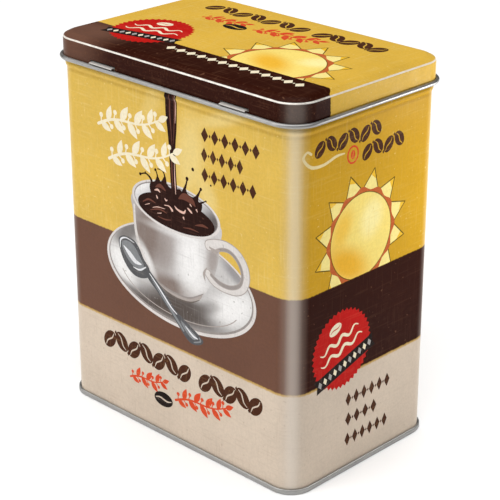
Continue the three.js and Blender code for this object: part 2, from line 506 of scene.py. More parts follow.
def seal(u, v, radius, teeth, turn):
    """A pinked seal with a bean, two waves and a blank ribbon across its foot."""
    rim = []
    for i in range(2 * teeth):
        angle = math.pi * i / teeth
        reach = radius * (1 if i % 2 else 0.93)
        rim.append((reach * math.cos(angle), reach * math.sin(angle)))
    layers = [(rim, "ink_red")]
    layers += bean(-0.05 * radius, 0.6 * radius, 0.42 * radius, "ink_white", "ink_red", 8, 0.62)
    for height, half in ((0.26, 0.66), (-0.02, 0.72)):
        wave = []
        for i in range(33):
            t = i / 16 - 1
            wave.append((t * half * radius, (height + 0.07 * math.sin(t * 3 * math.pi)) * radius,
                         radius * (0.025 + 0.06 * (1 - t * t))))
        layers += ribbon(wave, "ink_white")
    half, high = 1.04 * radius, 0.17 * radius
    drop = -0.44 * radius
    strip = [(-half, drop - high), (half, drop - high), (half * 0.94, drop), (half, drop + high),
             (-half, drop + high), (-half * 0.94, drop)]
    layers.append((strip, "ink_black"))
    for i in range(11):
        place = half * 0.84 * (i / 5 - 1)
        layers += diamond(place, drop, 0.13 * radius, 0.2 * radius, "ink_white" if i % 2 else "ink_grey")
    return moved(layers, u, v, 1, turn)


# ---- the art
def saucer_art():
    layers = [(ellipse(4.3, 87, 50, 25, steps=90), "china_light")]
    layers += [(ellipse(4.2, 87.4, 48.4, 23.8, steps=90), "china_grey")]
    layers += [(ellipse(4.1, 87.8, 47.6, 23.1, steps=90), "saucer")]
    layers += ring(4.2, 85.6, 40.5, 18.4, 0.5, "china_shade", 196, 338)
    return layers


def cup_art():
    bowl = [(-26.3, 121.5), (-26.2, 113), (-25.6, 105), (-24.2, 98.5), (-22, 93), (-18.6, 87.8),
            (-14.6, 83.8),
            (-10.5, 80.6), (-4, 78), (4, 76.9), (12, 77.8), (17.6, 80.4), (21.6, 85), (25.6, 91),
            (28.6, 97.6),
            (30.6, 104.5), (31.6, 112), (31.9, 121.5), (16, 126), (-12, 126)]
    foot = [(-11.5, 82.2), (-4, 79.8), (4, 79.1), (12, 80), (20, 84.6), (17.6, 80.4), (12, 77.8), (4, 76.9),
            (-4, 78)]
    layers = blob(bowl, "cup")
    layers += blob(foot, "china_shade", 3)
    layers += brush([(-11.5, 82.2, 0.5), (-4, 79.8, 0.8), (4, 79.1, 0.9), (12, 80, 0.9), (20.6, 84.8, 0.4)],
                    "china_grey")
    layers += brush([(-10.5, 80.6, 0.3), (-4, 78, 0.7), (4, 76.9, 0.8), (12, 77.8, 0.7), (18, 80.8, 0.3)],
                    "china_dark")
    layers += brush([(-25.2, 116, 1.2), (-24.9, 106, 1.6), (-23.2, 98.5, 1.9), (-20, 92, 1.8),
                     (-15, 86, 0.9)],
                    "china_light")
    return layers


def handle_art():
    line = [(24.5, 110.2), (29.5, 112), (36, 112.9), (42.4, 111.2), (46.9, 106.6), (48.2, 100.8),
            (46.2, 95.6),
            (41.4, 92.4), (34, 91.6), (27.6, 93), (23.6, 96.2)]
    widths = [4.6, 4.6, 4.2, 4, 3.9, 3.7, 3.4, 3, 2.7, 3.2, 3.4]
    layers = brush([(u, v, w + 0.9) for (u, v), w in zip(line, widths)], "china_shade")
    layers += brush([(u, v, w) for (u, v), w in zip(line, widths)], "china_light")
    inner = [(27, 107.6, 0.4), (32.4, 110.4, 1.1), (37.6, 110.9, 1.2), (42, 108.6, 1.2), (44.9, 104.8, 1.1),
             (45.6, 100.4, 1.0), (43.6, 96.2, 1.3), (38, 93.5, 1.5), (31.4, 93.6, 1.5), (26, 96, 1.1)]
    layers += brush([(u, v, w + 0.8) for u, v, w in inner], "china_shade")
    layers += brush(inner, "china_grey")
    layers += brush([(25, 109.4, 0.8), (28.6, 108.4, 2.2), (31.2, 109.6, 1)], "china_shade")
    layers += brush([(22, 91.6, 0.3), (21.2, 95.2, 1.5), (23, 98.6, 0.4)], "china_shade")
    return layers


def coffee_art():
    layers = [(ellipse(2.8, 121.7, 29.2, 12, steps=90), "china_light")]
    layers += [(ellipse(2.8, 121.9, 27.7, 10.9, steps=90), "china_grey")]
    layers += [(ellipse(2.8, 121.7, 27.2, 10.4, steps=90), "cup_inside")]
    layers += [(ellipse(3, 119.2, 25.4, 8.2, steps=72), "ink_coffee")]
    back = [(-14, 127), (-13.4, 130.4), (-10.4, 131.8), (-8.6, 135), (-6.4, 132.6), (-3.6, 136.2),
            (-2.4, 132.6),
            (1, 131), (6, 132.2), (8.6, 131.2), (9.6, 135.6), (11, 131.6), (15, 130.8), (18.4, 133.4),
            (18.2, 129.6),
            (20.6, 128.8), (18, 124), (2, 122), (-11, 123.6)]
    layers += [(spline(back, 3, closed=True), "ink_coffee")]
    for drop in ((-20.3, 132.7, 0.8), (-9.9, 137.4, 0.75), (-5, 138.4, 0.6), (11, 138.6, 1),
                 (19.8, 135.9, 0.8),
                 (23, 131, 0.5), (14.8, 144, 0.9), (26.2, 139.4, 0.5), (-16.8, 134.4, 0.5)):
        layers.append((ellipse(drop[0], drop[1], drop[2], drop[2], steps=14), "ink_coffee"))
    arms = [[(-19.6, 133, 0.7), (-16.4, 133.9, 0.8), (-13.4, 132.4, 1.3), (-12.2, 129.6, 2)],
            [(-9.5, 137.2, 0.6), (-8.6, 134.6, 1), (-8.6, 132, 1.7)],
            [(-8.4, 138.3, 0.5), (-5.2, 138.2, 0.7), (-3.6, 135.6, 1.1), (-3.4, 132, 2)],
            [(11, 138.2, 0.8), (10.2, 135.4, 1.1), (8.6, 131.6, 2)],
            [(19.6, 135.6, 0.8), (18.2, 133, 1.2), (16.6, 130.6, 2)],
            [(22.6, 130.8, 0.5), (20, 129.4, 1), (17.6, 127.6, 1.8)]]
    for arm in arms:
        layers += brush(arm, "ink_coffee")
    glow = [[(5.5, 127.6, 0.8), (9, 129.4, 3.4), (13.6, 128.6, 3), (16, 126.6, 0.6)],
            [(-10, 129, 0.5), (-7, 130.4, 2), (-3.6, 129, 0.8)],
            [(-19, 119.4, 0.4), (-15, 121.6, 1), (-10.6, 121, 0.5)],
            [(-14, 116.6, 0.3), (-8, 118.6, 0.9), (-3, 118, 0.4)],
            [(16, 117.4, 0.4), (20.4, 118.6, 1.3), (24, 118.4, 0.5)],
            [(8, 114, 0.3), (13, 114.8, 0.7), (18, 114.6, 0.3)],
            [(-9, 114.8, 0.3), (-4, 114.6, 0.6), (0, 115.4, 0.3)]]
    for line in glow:
        layers += brush(line, "ink_roast")
    glints = [[(-10.6, 127.4, 0.5), (-8.6, 128, 1.1), (-7.2, 127.2, 0.5)],
              [(-9.6, 125, 0.4), (-9, 123.9, 0.9)],
              [(-4, 125, 0.4), (-3.2, 124.2, 0.8), (-2.4, 124.6, 0.4)],
              [(2.6, 123, 0.4), (4.4, 121.8, 0.9), (8.4, 121.4, 1.2),
              (9.6, 123, 0.4)], [(-4.4, 121.6, 0.3), (-1.2, 121.9, 0.6), (0.8, 120.4, 1.3)],
              [(11, 124.4, 0.4), (12.2, 123.8, 1.1), (13.8, 122.8, 0.7)],
              [(12.8, 126.6, 0.8), (13.6, 126, 0.5)],
              [(16.8, 125.2, 0.8), (17.4, 124.4, 0.5)], [(8.2, 119, 0.9), (8.6, 118.2, 0.5)],
              [(-12.4, 118.2, 0.2), (-9, 119.4, 0.45), (-4, 119.8, 0.2)],
              [(-9.4, 116.2, 0.2), (-6.6, 117, 0.4)],
              [(-17.6, 118.2, 0.2), (-14.4, 119.6, 0.4)]]
    for line in glints:
        layers += brush(line, "ink_glint", 4)
    return layers


def pour_art():
    left = [(-2.1, 181), (-2.4, 172), (-2.2, 165), (-1.2, 158), (-0.5, 150), (-0.2, 142), (0.2, 134),
            (0.9, 125.5)]
    right = [(6, 124), (4.6, 130), (4, 138), (3.7, 146), (3.9, 153), (4.7, 160), (5.1, 168), (5.3, 181)]
    layers = [(spline(left, 4) + spline(right, 4), "ink_coffee")]
    layers += brush([(0.8, 178, 0.6), (0.4, 168, 0.9), (1, 160, 0.5), (1.6, 152, 0.2)], "ink_roast")
    layers += brush([(3.4, 178, 0.4), (3.5, 168, 0.6), (3, 160, 0.4), (2.4, 153, 0.2)], "ink_roast")
    layers += brush([(1.2, 148, 0.3), (1.2, 140, 0.8), (1.6, 132, 0.3)], "ink_roast")
    layers += brush([(2.9, 144, 0.2), (3, 136, 0.6), (3.4, 129, 0.3)], "ink_glint")
    layers += brush([(4.2, 176, 0.2), (4.2, 169, 0.45), (3.8, 163, 0.2)], "ink_glint")
    return layers


def spoon_art():
    bowl = [(-37.1, 94.6), (-35, 97.4), (-30.4, 98.4), (-25.6, 97.4), (-22, 94), (-19.6, 90), (-16, 86.4),
            (-15.6, 82.4), (-20, 79.8), (-26, 79.4), (-31, 82), (-35.2, 87.4)]
    handle = [(-17.6, 86.2), (-13, 83.2), (-6, 77.6), (0.4, 71.6), (3.2, 69.6), (10, 66.2), (17.4, 62.6),
              (20.2, 60.4),
              (18.4, 58), (13.6, 56.6), (9.4, 57.8), (4, 62.6), (-0.4, 67), (-4.4, 70.4), (-10.6, 76),
              (-17, 81)]
    layers = blob(bowl, "steel_dark") + blob(handle, "steel_dark")
    hollow = [(-35, 93.6), (-31.6, 96), (-26.6, 95), (-22.6, 90.8), (-19.6, 86.2), (-22, 84), (-27.6, 84.4),
              (-32.2, 88)]
    layers += blob(hollow, "steel_mid")
    layers += brush([(-33.4, 92.6, 0.6), (-29.6, 89.8, 2.6), (-25.6, 87, 2.4), (-21.6, 86.6, 0.8)],
                    "steel_light")
    layers += brush([(-27, 83.6, 0.4), (-22.6, 83.4, 1), (-18.4, 86, 0.6)], "steel_light")
    layers += brush([(-36, 91, 0.3), (-35.6, 95.4, 0.9), (-31.6, 97.3, 0.6), (-26, 96.4, 0.3)], "steel_light")
    layers += brush([(-15.6, 83.6, 0.5), (-8.6, 77.6, 0.9), (-1.6, 71.2, 0.8), (2.6, 68.6, 0.5)],
                    "steel_light")
    layers += brush([(-14.6, 81.6, 0.4), (-7.6, 75, 1), (0, 68.4, 1.4), (7, 61.6, 1.2)], "steel_mid")
    end = [(5.2, 66.2), (10.6, 63.8), (15.6, 61.4), (14.6, 59.2), (11.4, 59.8), (7.4, 62.8)]
    layers += blob(end, "steel_mid")
    layers += brush([(8.4, 64.2, 0.4), (13.2, 61, 1.1), (16.4, 60.4, 0.5)], "steel_light")
    layers += brush([(17.6, 61.2, 0.9), (18.2, 59.6, 0.9), (14, 57.8, 0.6)], "steel_mid")
    return layers


def front_art():
    ground = "wall_bands"
    layers = saucer_art() + cup_art() + coffee_art() + handle_art() + pour_art() + spoon_art()
    layers += sprig(-28, 156, 43, 15, 9, 9, "ink_white")
    layers += sprig(-20, 141.5, 46, 17, 9, 9, "ink_white")
    for v, right, count in ((162.2, 57, 6), (152.8, 47, 5), (143.4, 55, 6)):
        layers += diamond_row(19.5, right, v, 7, count, "ink_brown")
    layers += bean_row(-50.5, 11.5, 39.6, 10.6, 7, "ink_brown", ground)
    layers += bean_row(17, 58, 39.6, 10.6, 5, "ink_brown", ground)
    layers += sprig(-20, 26, 24, 13, 7, 6.4, "ink_orange")
    layers += sprig(17.5, 26.5, 35, 14, 9, 7.4, "ink_orange")
    layers += bean(-8, 19.4, 13, "ink_black", ground, 4, 0.6)
    return layers


def side_art():
    ground = "wall_bands"
    layers = bean_row(-37, 7, 165.6, 8, 6, "ink_brown", ground)
    layers += bean_row(-6, 23, 156.6, 8, 4, "ink_brown", ground)
    layers += brush([(-38.8, 164.4, 1.2), (-41, 165.6, 1), (-42.6, 162.6, 1.2), (-38.6, 158.4, 1.5),
                     (-31, 157.6, 1.4),
                     (-23, 159.4, 1.3), (-17.6, 159.4, 0.6)], "ink_pale")
    layers += ring(-12, 157.4, 3.4, 3.8, 0.9, "ink_orange")
    layers += bean(-12, 157.4, 4.2, "ink_orange", ground, 90)
    layers += sun(-5, 117.2, 31.2, 12, 0.5, "sun_side")
    layers.append(([(-37.4, 60), (37.4, 60), (37.4, YELLOW_FOOT), (-37.4, YELLOW_FOOT)], ground))
    layers += seal(-16.4, 65, 20, 42, 17)
    for v, left, right, count in ((37, -13.5, 19.5, 6), (26.6, -13.5, 10.5, 4), (16, -13.5, 18.5, 6)):
        layers += diamond_row(left, right, v, 7.2, count, "ink_brown")
    return layers


def lid_art():
    ground = "lid_bands"
    layers = bean_row(-56, 10, 32, 10, 7, "ink_brown", ground)
    layers += bean_row(15, 57, 32, 10, 5, "ink_brown", ground)
    layers += sprig(-32, 18, 24, 12, 7, 6.6, "ink_orange")
    layers += sprig(7, 19.5, 35, 12, 9, 7.4, "ink_orange")
    layers += bean(-20, 13.4, 13.4, "ink_black", ground, 4, 0.6)
    layers += sun(34.5, -15, 33.5, 12, 0, "sun_lid")
    layers.append(([(-4, -48), (68, -48), (68, LID_BAND), (-4, LID_BAND)], ground))
    layers += seal(-43.6, -18, 20.4, 42, 12)
    layers += diamond_row(-20, 66, -31, 5.6, 13, "ink_white")
    return layers


# ---- the materials
MATERIALS = {}


def screen(red, green, blue):
    """A colour as seen on a screen, 0 to 255, in the renderer's linear values."""
    return tuple(c / 255 / 12.92 if c < 10.3 else ((c / 255 + 0.055) / 1.055) ** 2.4
                 for c in (red, green, blue)) + (1,)


# The broad sides' lighter yellow and brown are painted light, the ends' darker yellow painted shade; the
# lid's yellow is toned down, painted shade against the light from above.
YELLOW = screen(198, 152, 36)
YELLOW_LIT = screen(214, 177, 82)
YELLOW_PALE = screen(226, 202, 132)
YELLOW_LID = screen(214, 172, 66)
BROWN = screen(46, 15, 6)
BROWN_LIT = screen(106, 74, 60)
BROWN_PALE = screen(116, 78, 56)
CREAM = screen(206, 190, 172)
CREAM_DARK = screen(178, 156, 136)
GOLD = screen(188, 150, 70)
BEAD_SHADE_GOLD = screen(150, 110, 24)
# The palest colour: the painted highlight down each corner, and on the lid's top edge rubbed metal with a
# painted highlight.
RUB_AND_HIGHLIGHT = screen(250, 244, 234)
CORNER_HIGHLIGHT = ((0.5, 7, 0.18), (4, 7.6, 0.44))  # depth into the corner's round, from and to, and strength
CORNER_HIGHLIGHT_PALE = 0.6
LID_CORNER_HIGHLIGHT = 0.28
PRINT_SPECULAR = 0.03  # far below a real lacquer's, to keep the dark brown deep
TONGUE_METALLIC = 0.4  # below bare metal's 1, so that the tongues read as pale bars


class Paint:
    """One material's nodes. A value may be a number, a colour or another node's output."""

    def __init__(self, name):
        self.material = bpy.data.materials.new(name)
        self.material.use_nodes = True
        self.tree = self.material.node_tree
        self.tree.nodes.clear()
        self.shader = self.node("ShaderNodeBsdfPrincipled")
        output = self.node("ShaderNodeOutputMaterial")
        self.tree.links.new(self.shader.outputs[0], output.inputs[0])
        self.place = self.node("ShaderNodeTexCoord").outputs["Object"]
        MATERIALS[name] = self.material

    def node(self, kind, **settings):
        made = self.tree.nodes.new(kind)
        for key, value in settings.items():
            setattr(made, key, value)
        return made

    def feed(self, socket, value):
        if isinstance(value, bpy.types.NodeSocket):
            self.tree.links.new(value, socket)
        else:
            socket.default_value = value

    def math(self, operation, a, b=0.0):
        made = self.node("ShaderNodeMath", operation=operation)
        self.feed(made.inputs[0], a)
        self.feed(made.inputs[1], b)
        return made.outputs[0]

    def axes(self, vector):
        made = self.node("ShaderNodeSeparateXYZ")
        self.feed(made.inputs[0], vector)
        return made.outputs

    def noise(self, scale, detail=2.0, stretch=(1, 1, 1), shift=0.0):
        """Noise with this many features to a metre, along axes that stretch multiplies."""
        mapping = self.node("ShaderNodeMapping")
        self.feed(mapping.inputs["Vector"], self.place)
        mapping.inputs["Scale"].default_value = stretch
        mapping.inputs["Location"].default_value = (shift, shift, shift)
        made = self.node("ShaderNodeTexNoise")
        self.feed(made.inputs["Vector"], mapping.outputs[0])
        made.inputs["Scale"].default_value = scale
        made.inputs["Detail"].default_value = detail
        return made.outputs[0]

    def ramp(self, value, low, high, start=0.0, end=1.0):
        made = self.node("ShaderNodeMapRange", interpolation_type="SMOOTHSTEP")
        for socket, item in zip(made.inputs, (value, low, high, start, end)):
            self.feed(socket, item)
        return made.outputs[0]

    def mix(self, factor, a, b, blend="MIX"):
        made = self.node("ShaderNodeMix", data_type="RGBA", blend_type=blend)
        for socket, item in ((made.inputs[0], factor), (made.inputs[6], a), (made.inputs[7], b)):
            self.feed(socket, item)
        return made.outputs[2]

    def spots(self, colour, plane, marks):
        """Soft elliptical patches (u, v, half-length, half-width, lean in degrees, colour, strength)."""
        for u, v, long, wide, lean, tint, strength in marks:
            mapping = self.node("ShaderNodeMapping", vector_type="TEXTURE")
            self.feed(mapping.inputs["Vector"], plane)
            mapping.inputs["Location"].default_value = (u * MM, v * MM, 0)
            mapping.inputs["Rotation"].default_value = (0, 0, math.radians(lean))
            mapping.inputs["Scale"].default_value = (long * MM, wide * MM, 1)
            fade = self.node("ShaderNodeTexGradient", gradient_type="SPHERICAL")
            self.feed(fade.inputs[0], mapping.outputs[0])
            colour = self.mix(self.ramp(fade.outputs["Fac"], 0, 0.8, 0, strength), colour, tint)
        return colour

    def plane(self, name):
        """The flat coordinates that art is drawn in: front and back, the two ends, or the lid's top."""
        x, y, z = self.axes(self.place)
        made = self.node("ShaderNodeCombineXYZ")
        if name == "front":
            mirror = self.math("MULTIPLY", self.math("SIGN", y), -1.0)
            self.feed(made.inputs[0], self.math("MULTIPLY", x, mirror))
            self.feed(made.inputs[1], z)
        elif name == "side":
            self.feed(made.inputs[0], self.math("MULTIPLY", y, self.math("SIGN", x)))
            self.feed(made.inputs[1], z)
        else:
            self.feed(made.inputs[0], x)
            self.feed(made.inputs[1], y)
        return made.outputs[0]

    def printed(self, colour, worn, lid, amount=1.0, edge=0.0):
        """The aged print: blotches, grain, crossed linen-like scratches and flecks. Edge is how far it is
        rubbed down to the metal, with a painted highlight in its pale colour. The pale streak down each
        corner is painted in, for the light that catches the corners in the photograph."""
        tint = self.ramp(self.noise(30, 3), 0.3, 0.7, 0.95, 1.03)
        colour = self.mix(1.0, colour, self.grey(tint), "MULTIPLY")
        grain = self.ramp(self.noise(900, 2), 0.3, 0.7, 0.96, 1.03)
        colour = self.mix(1.0, colour, self.grey(grain), "MULTIPLY")
        threads = ((60, 1100, 1100), (1100, 60, 1100)) if lid else ((60, 60, 1100), (1100, 1100, 60))
        for i, stretch in enumerate(threads):
            scratch = self.ramp(self.noise(1, 2, stretch, 0.37 * i), 0.54, 0.74)
            colour = self.mix(self.math("MULTIPLY", self.math("MULTIPLY", scratch, 0.26), amount), colour,
                              worn)
        patches = self.ramp(self.noise(16, 4, shift=2.1), 0.42, 0.7)
        haze = self.math("MULTIPLY", patches, self.ramp(self.noise(380, 3, shift=0.9), 0.45, 0.75, 0, 0.2))
        colour = self.mix(self.math("MULTIPLY", haze, amount), colour, worn)
        fleck = self.ramp(self.noise(520, 1, shift=4.3), 0.71, 0.77, 0, 0.5)
        colour = self.mix(fleck, colour, worn)
        # The pale streak down each corner is a painted highlight, kept below the lid's top edge.
        x, y, height = self.axes(self.place)
        beyond_x = self.math("SUBTRACT", self.math("ABSOLUTE", x), FLAT_X * MM)
        beyond_y = self.math("SUBTRACT", self.math("ABSOLUTE", y), FLAT_Y * MM)
        corner = self.math("MINIMUM", beyond_x, beyond_y)
        share = LID_CORNER_HIGHLIGHT if lid else 1
        below_edge = self.ramp(height, (EDGE_LINE - 0.3) * MM, (EDGE_LINE + 0.3) * MM, 1, 0)
        corner = self.math("MULTIPLY", corner, below_edge)
        pale = self.mix(CORNER_HIGHLIGHT_PALE, worn, RUB_AND_HIGHLIGHT)
        for start, end, strength in CORNER_HIGHLIGHT:
            colour = self.mix(self.ramp(corner, start * MM, end * MM, 0, strength * share), colour, pale)
        gloss = self.ramp(self.noise(130, 3, shift=1.2), 0.3, 0.7, 0.3, 0.38)
        # The lid's pale top edge: rubbed metal with a painted highlight.
        if edge:
            colour = self.mix(edge, colour, RUB_AND_HIGHLIGHT)
            self.feed(self.shader.inputs["Metallic"], self.math("MULTIPLY", edge, 0.3))
        self.feed(self.shader.inputs["Base Color"], colour)
        self.feed(self.shader.inputs["Roughness"], gloss)
        self.shader.inputs["Specular IOR Level"].default_value = PRINT_SPECULAR
        self.bump(((900, 0.000008, (1, 1, 1)), (22, 0.0001, (1, 1, 1))))

    def grey(self, value):
        made = self.node("ShaderNodeCombineColor")
        for socket in made.inputs[:3]:
            self.feed(socket, value)
        return made.outputs[0]

    def bump(self, waves):
        """Bumps given as (features to a metre, depth in metres, stretch)."""
        normal = None
        for scale, depth, stretch in waves:
            made = self.node("ShaderNodeBump")
            made.inputs["Distance"].default_value = depth
            self.feed(made.inputs["Height"], self.noise(scale, 2, stretch, 0.7))
            if normal:
                self.feed(made.inputs["Normal"], normal)
            normal = made.outputs[0]
        self.feed(self.shader.inputs["Normal"], normal)


def wall_bands():
    """Yellow over brown over cream, painted lighter on the broad sides than on the ends for the light that
    falls on them, with a soft gleam beside the stream and painted shade under the stop bead.
    """
    paint = Paint("wall_bands")
    _, y, height = paint.axes(paint.place)
    broad = paint.ramp(paint.math("ABSOLUTE", y), FLAT_Y * MM, HALF_DEPTH * MM)
    height = paint.math("ADD", height, paint.ramp(paint.noise(600, 3), 0, 1, -0.3 * MM, 0.3 * MM))
    soft = 0.35 * MM
    brown = paint.ramp(height, BROWN_FOOT * MM - soft, BROWN_FOOT * MM + soft)
    yellow = paint.ramp(height, YELLOW_FOOT * MM - soft, YELLOW_FOOT * MM + soft)
    # The yellow is painted lighter on the broad sides, where more light falls.
    upper = paint.spots(paint.mix(broad, YELLOW, YELLOW_LIT), paint.plane("front"), (
        (13, 150, 30, 13, 84, YELLOW_PALE, 0.8), (34, 172, 26, 5, 20, YELLOW_PALE, 0.7),
        (-12, 168, 18, 7, 60, YELLOW_PALE, 0.4), (24, 134, 14, 8, -60, YELLOW_PALE, 0.7)))
    # Painted shade: a darker gold line along the foot of the stop bead.
    bead_shade = paint.math("ABSOLUTE", paint.math("SUBTRACT", height, (BEAD_FOOT - 0.2) * MM))
    upper = paint.mix(paint.ramp(bead_shade, 0, 1.6 * MM, 0.3, 0), upper, BEAD_SHADE_GOLD)
    # The brown is painted lighter on the broad sides too, for the light.
    colour = paint.mix(brown, CREAM, paint.mix(broad, BROWN, BROWN_LIT))
    colour = paint.mix(yellow, colour, upper)
    line = paint.math("ABSOLUTE", paint.math("SUBTRACT", height, (BROWN_FOOT - 0.2) * MM))
    colour = paint.mix(paint.ramp(line, 0.2 * MM, 0.9 * MM, 0.8, 0), colour, GOLD)
    worn = paint.mix(brown, CREAM_DARK, BROWN_PALE)
    worn = paint.mix(yellow, worn, YELLOW_PALE)
    paint.printed(colour, worn, lid=False, amount=paint.ramp(broad, 0, 1, 0.35, 1))


def lid_bands():
    """Brown along the hinge side, yellow over the rest. Their shared edge bends down over the shoulder."""
    paint = Paint("lid_bands")
    _, y, height = paint.axes(paint.place)
    waver = paint.ramp(paint.noise(600, 3), 0, 1, -0.3 * MM, 0.3 * MM)
    bend = paint.ramp(height, (LID_TOP - SHOULDER_RISE) * MM, LID_TOP * MM, SKIRT_BAND * MM, LID_BAND * MM)
    yellow = paint.ramp(paint.math("SUBTRACT", paint.math("ADD", y, waver), bend), -0.25 * MM, 0.25 * MM)
    # A painted reflection lightens the brown at the lid's left end.
    brown = paint.spots(BROWN, paint.plane("lid"), ((-66, -40, 34, 26, 0, BROWN_LIT, 0.9),))
    colour = paint.mix(yellow, brown, YELLOW_LID)
    worn = paint.mix(yellow, BROWN_PALE, YELLOW_PALE)
    # The pale line round the lid's top edge: rubbed metal, with a painted highlight in its pale colour.
    from_edge = paint.math("ABSOLUTE", paint.math("SUBTRACT", height, EDGE_LINE * MM))
    uneven = paint.ramp(paint.noise(260, 2, shift=5.0), 0.3, 0.7, 0.7, 0.95)
    edge = paint.math("MULTIPLY", paint.ramp(from_edge, 0.2 * MM, 0.45 * MM, 1, 0), uneven)
    paint.printed(colour, worn, lid=True, edge=edge, amount=0.7)


def ink(name, colour, worn, plane=None, marks=(), amount=0.8):
    paint = Paint(name)
    if marks:
        colour = paint.spots(colour, paint.plane(plane), marks)
    paint.printed(colour, worn, lid=plane == "lid", amount=amount)


def metal(name, colour, roughness, brushed, depth, metallic=1.0):
    """Bare tinplate: faint rolling lines, dull patches and fine scratches."""
    paint = Paint(name)
    tone = paint.ramp(paint.noise(60, 4), 0.25, 0.75, 0.9, 1.03)
    tinted = paint.mix(1.0, colour, paint.grey(tone), "MULTIPLY")
    dirt = paint.ramp(paint.noise(300, 3, shift=3.1), 0.62, 0.8, 0, 0.2)
    tinted = paint.mix(dirt, tinted, screen(118, 112, 104))
    paint.feed(paint.shader.inputs["Base Color"], tinted)
    paint.shader.inputs["Metallic"].default_value = metallic
    dull = paint.ramp(paint.noise(1, 3, brushed), 0.3, 0.7, roughness - 0.04, roughness + 0.06)
    paint.feed(paint.shader.inputs["Roughness"], dull)
    paint.bump(((1, depth, brushed), (30, 0.00005, (1, 1, 1))))


def make_materials():
    wall_bands()
    lid_bands()
    white, grey, dark = screen(234, 232, 230), screen(150, 144, 140), screen(92, 84, 80)
    taupe, shadow = screen(126, 110, 102), screen(84, 75, 70)
    ink("cup", screen(200, 196, 194), grey, "front", (
        (-17, 103, 30, 19, 84, taupe, 0.95), (-3, 99, 20, 9, 80, taupe, 0.5), (0, 82, 30, 8, 2, taupe, 0.95),
        (13, 98, 26, 14, 84, white, 1.0), (-17.5, 91, 15, 4.5, -56, white, 0.85),
        (27, 104, 14, 6, 78, taupe, 0.6),
        (2, 109.5, 30, 3.5, 0, white, 0.5), (19, 88, 10, 5, 40, white, 0.5)))
    ink("cup_inside", screen(206, 203, 203), grey, "front", (
        (30, 121, 15, 13, 0, screen(92, 84, 82), 0.95), (-20, 128, 12, 6, 40, white, 0.9)))
    ink("saucer", screen(196, 193, 191), grey, "front", (
        (0, 70, 56, 11, 2, shadow, 1.0), (4, 76, 30, 7, 0, shadow, 0.9), (-30, 101, 20, 8, 38, shadow, 0.75),
        (-35, 83, 17, 10, -46, white, 1.0), (40, 84, 24, 13, 30, white, 1.0),
        (24, 79, 12, 5, 20, shadow, 0.5),
        (42, 101, 16, 6, -28, screen(140, 136, 138), 0.85), (-24, 69, 24, 4, -22, shadow, 0.6)))
    plain = (
        ("china_light", screen(214, 208, 204), grey, 0.8),
        ("china_grey", screen(150, 142, 138), dark, 0.8),
        ("china_shade", screen(168, 158, 152), grey, 0.8),
        ("china_dark", screen(104, 94, 88), grey, 0.8),
        ("steel_dark", screen(84, 84, 86), grey, 0.8),
        ("steel_mid", screen(132, 134, 136), dark, 0.8),
        ("steel_light", screen(226, 226, 228), grey, 0.8),
        ("ink_coffee", screen(38, 17, 12), screen(96, 60, 48), 0.8),
        ("ink_roast", screen(104, 62, 50), screen(60, 30, 22), 0.8),
        ("ink_glint", screen(226, 186, 170), screen(150, 100, 84), 0.8),
        ("ink_brown", screen(70, 38, 24), screen(132, 98, 60), 1.0),
        ("ink_white", screen(236, 225, 196), screen(214, 190, 140), 0.8),
        ("ink_pale", screen(228, 210, 158), screen(214, 180, 90), 1.0),
        ("ink_red", screen(184, 22, 18), screen(206, 78, 60), 0.8),
        ("ink_orange", screen(206, 70, 38), screen(230, 150, 90), 0.8),
        ("ink_black", screen(30, 22, 20), screen(96, 84, 78), 0.8),
        ("ink_grey", screen(168, 164, 160), screen(90, 84, 80), 0.8),
        ("ink_olive", screen(96, 76, 20), screen(190, 160, 80), 0.8),
        ("ink_rust", screen(186, 92, 48), screen(214, 160, 90), 0.8),
        ("sun_pale", screen(240, 222, 140), screen(220, 184, 84), 0.8),
        ("sun_gold", screen(230, 182, 48), screen(240, 214, 138), 0.8),
    )
    for name, colour, worn, amount in plain:
        ink(name, colour, worn, amount=amount)
    ink("sun_side", screen(238, 214, 120), screen(222, 186, 84), "side", (
        (-14, 106, 24, 12, -30, screen(228, 168, 34), 0.9), (-18, 124, 14, 9, 60, screen(232, 180, 50), 0.7),
        (2, 124, 14, 11, 70, screen(244, 232, 168), 0.8)))
    ink("sun_lid", screen(240, 214, 116), screen(222, 186, 84), "lid", (
        (31, -16, 22, 12, -30, screen(230, 172, 40), 0.9), (47, -2, 13, 10, 30, screen(246, 234, 166), 0.8)))
    metal("tinplate", screen(166, 165, 163), 0.46, (400, 400, 30), 0.000003)
    metal("tinplate_tongue", screen(206, 202, 196), 0.5, (400, 400, 30), 0.000003, TONGUE_METALLIC)
    metal("tinplate_inside", screen(200, 198, 192), 0.36, (30, 500, 500), 0.000002)


# ---- the pieces
def bead_offset(height):
    """How far the wall stands out at this height, and how fast that changes."""
    part = (height - BEAD_FOOT) / BEAD_HEIGHT
    if not 0 < part < 1:
        return 0.0, 0.0
    turn = 2 * math.pi * part
    return BEAD_RISE * (1 - math.cos(turn)) / 2, BEAD_RISE * math.pi / BEAD_HEIGHT * math.sin(turn)


def wall_face(side):
    """Places (run, height) on the wall's outer face, or on its inner one where side is -1."""
    def place(run, height):
        offset, slope = bead_offset(height)
        normal = Vector((1, -slope)).normalized()
        depth = 0 if side > 0 else SHEET
        point = Vector((offset, height)) - normal * depth
        return around(run, point), around_normal(run, normal * side)
    return place


def rectangle(left, right, low, high):
    return [(left, low), (right, low), (right, high), (left, high)]


